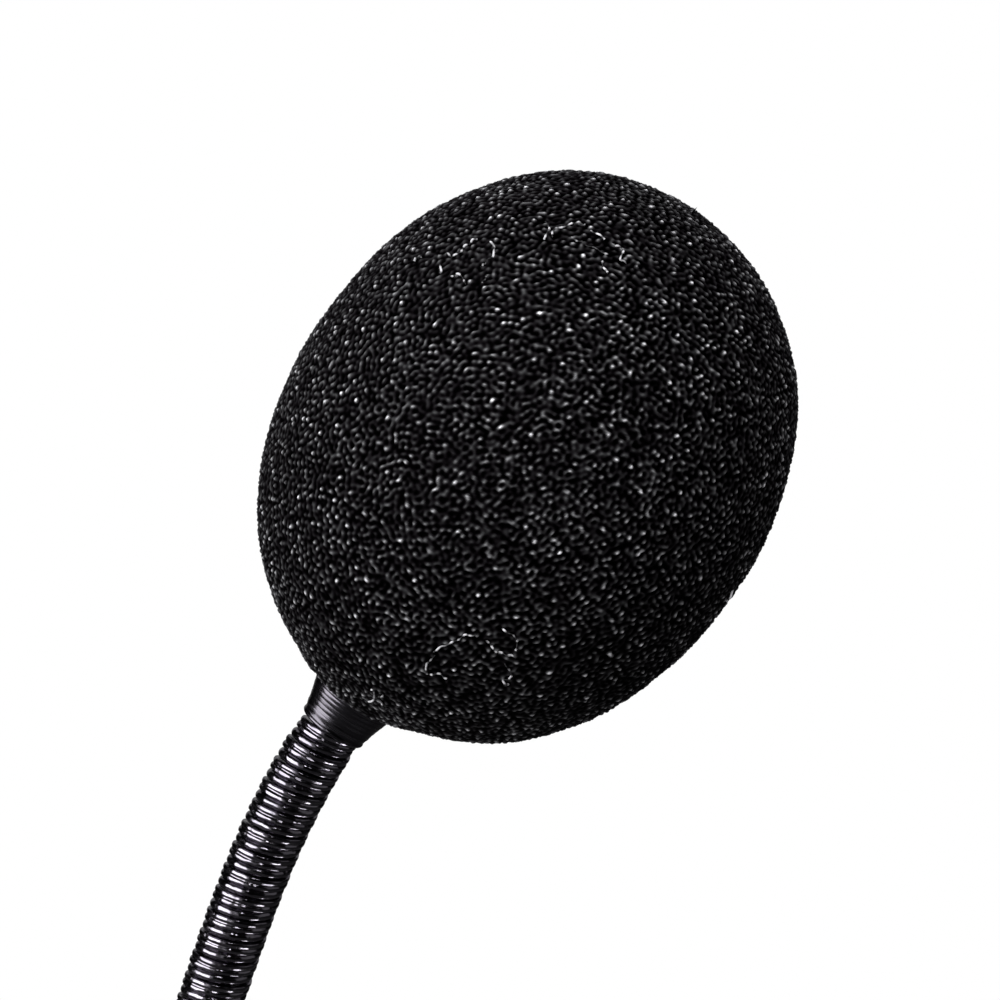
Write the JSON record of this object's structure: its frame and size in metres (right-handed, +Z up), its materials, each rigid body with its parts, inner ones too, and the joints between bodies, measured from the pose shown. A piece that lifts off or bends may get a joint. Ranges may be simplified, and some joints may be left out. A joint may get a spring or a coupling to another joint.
{
  "type": "gooseneck microphone",
  "caption": "Plug-in microphone on a flexible two-wire gooseneck, with a preamp barrel, a male plug and a foam windscreen over its capsule housing.",
  "frame": {"origin": "centre of the plug's open mouth", "axes": "+Z up the barrel, away from the mouth; the neck and head lean towards +X"},
  "size_m": [0.1082, 0.0608, 0.4591],
  "materials": {
    "foam": "open-cell foam, black",
    "neck_outer_wire": "black coated wire, satin",
    "neck_inner_wire": "black coated wire, satin",
    "black_metal": "black paint, fine satin",
    "black_plastic": "moulded, black",
    "rubber": "black rubber",
    "pins": "silver plated",
    "bright_steel": "bare steel",
    "housing": "black anodised",
    "cloth": "acoustic cloth, black",
    "board": "glass-fibre board, green",
    "sleeve": "insulating sheet",
    "cable": "cable sheath, black",
    "copper": "copper wire",
    "capsule_metal": "bare aluminium",
    "film": "gold-coated film"
  },
  "bodies": {
    "base": {"plug_shell": "black_metal", "xlr_insert": "black_plastic", "xlr_pin_1": "pins", "xlr_pin_2": "pins", "xlr_pin_3": "pins", "earth_spring": "bright_steel", "insert_screw": "bright_steel", "preamp_barrel": "black_metal", "insulating_sleeve": "sleeve", "preamp_board": "board", "board_chips": "black_plastic", "board_capacitors": "capsule_metal", "board_inductor": "copper", "board_leads": "copper", "cable_grommet": "rubber", "neck_bushing": "bright_steel", "grub_screw": "bright_steel", "neck_ferrule": "black_metal", "ferrule_ring": "rubber", "outer_coil_1": "neck_outer_wire", "inner_coil_1": "neck_inner_wire", "mic_cable_1": "cable"},
    "neck_2": {"outer_coil_2": "neck_outer_wire", "inner_coil_2": "neck_inner_wire", "mic_cable_2": "cable"},
    "neck_3": {"outer_coil_3": "neck_outer_wire", "inner_coil_3": "neck_inner_wire", "mic_cable_3": "cable"},
    "neck_4": {"outer_coil_4": "neck_outer_wire", "inner_coil_4": "neck_inner_wire", "mic_cable_4": "cable"},
    "neck_5": {"outer_coil_5": "neck_outer_wire", "inner_coil_5": "neck_inner_wire", "mic_cable_5": "cable"},
    "neck_6": {"outer_coil_6": "neck_outer_wire", "inner_coil_6": "neck_inner_wire", "mic_cable_6": "cable"},
    "neck_7": {"outer_coil_7": "neck_outer_wire", "inner_coil_7": "neck_inner_wire", "mic_cable_7": "cable"},
    "neck_8": {"outer_coil_8": "neck_outer_wire", "inner_coil_8": "neck_inner_wire", "mic_cable_8": "cable"},
    "neck_9": {"outer_coil_9": "neck_outer_wire", "inner_coil_9": "neck_inner_wire", "mic_cable_9": "cable"},
    "head": {"outer_coil_10": "neck_outer_wire", "inner_coil_10": "neck_inner_wire", "mic_cable_10": "cable", "head_collar": "housing", "capsule_housing": "housing", "housing_grille": "housing", "grille_cloth": "cloth", "capsule_can": "capsule_metal", "capsule_diaphragm": "film", "capsule_backplate": "pins", "capsule_board": "board", "capsule_boot": "rubber", "capsule_leads": "copper"},
    "windscreen": {"foam_windscreen": "foam"}
  },
  "joints": [
    {"name": "neck_bend_1", "type": "hinge", "parent": "base", "child": "neck_2", "pos_m": [0, 0, 0.13073], "axis": [0, 1, 0], "range_deg": [-25, 25]},
    {"name": "neck_bend_2", "type": "hinge", "parent": "neck_2", "child": "neck_3", "pos_m": [0, 0, 0.16013], "axis": [1, 0, 0], "range_deg": [-25, 25]},
    {"name": "neck_bend_3", "type": "hinge", "parent": "neck_3", "child": "neck_4", "pos_m": [0.00001, 0, 0.18953], "axis": [0, 1, 0], "range_deg": [-25, 25]},
    {"name": "neck_bend_4", "type": "hinge", "parent": "neck_4", "child": "neck_5", "pos_m": [0.00098, 0, 0.21891], "axis": [0.9982, 0, -0.0598], "range_deg": [-25, 25]},
    {"name": "neck_bend_5", "type": "hinge", "parent": "neck_5", "child": "neck_6", "pos_m": [0.00352, 0, 0.2482], "axis": [0, 1, 0], "range_deg": [-25, 25]},
    {"name": "neck_bend_6", "type": "hinge", "parent": "neck_6", "child": "neck_7", "pos_m": [0.00765, 0, 0.2773], "axis": [0.986, 0, -0.167], "range_deg": [-25, 25]},
    {"name": "neck_bend_7", "type": "hinge", "parent": "neck_7", "child": "neck_8", "pos_m": [0.01334, 0, 0.30614], "axis": [0, 1, 0], "range_deg": [-25, 25]},
    {"name": "neck_bend_8", "type": "hinge", "parent": "neck_8", "child": "neck_9", "pos_m": [0.02057, 0, 0.33463], "axis": [0.9622, 0, -0.2722], "range_deg": [-25, 25]},
    {"name": "neck_bend_9", "type": "hinge", "parent": "neck_9", "child": "head", "pos_m": [0.02933, 0, 0.3627], "axis": [0, 1, 0], "range_deg": [-25, 25]},
    {"name": "windscreen_slide", "type": "slide", "parent": "head", "child": "windscreen", "axis": [0.5606, 0, 0.8281], "range_m": [0, 0.045]}
  ]
}
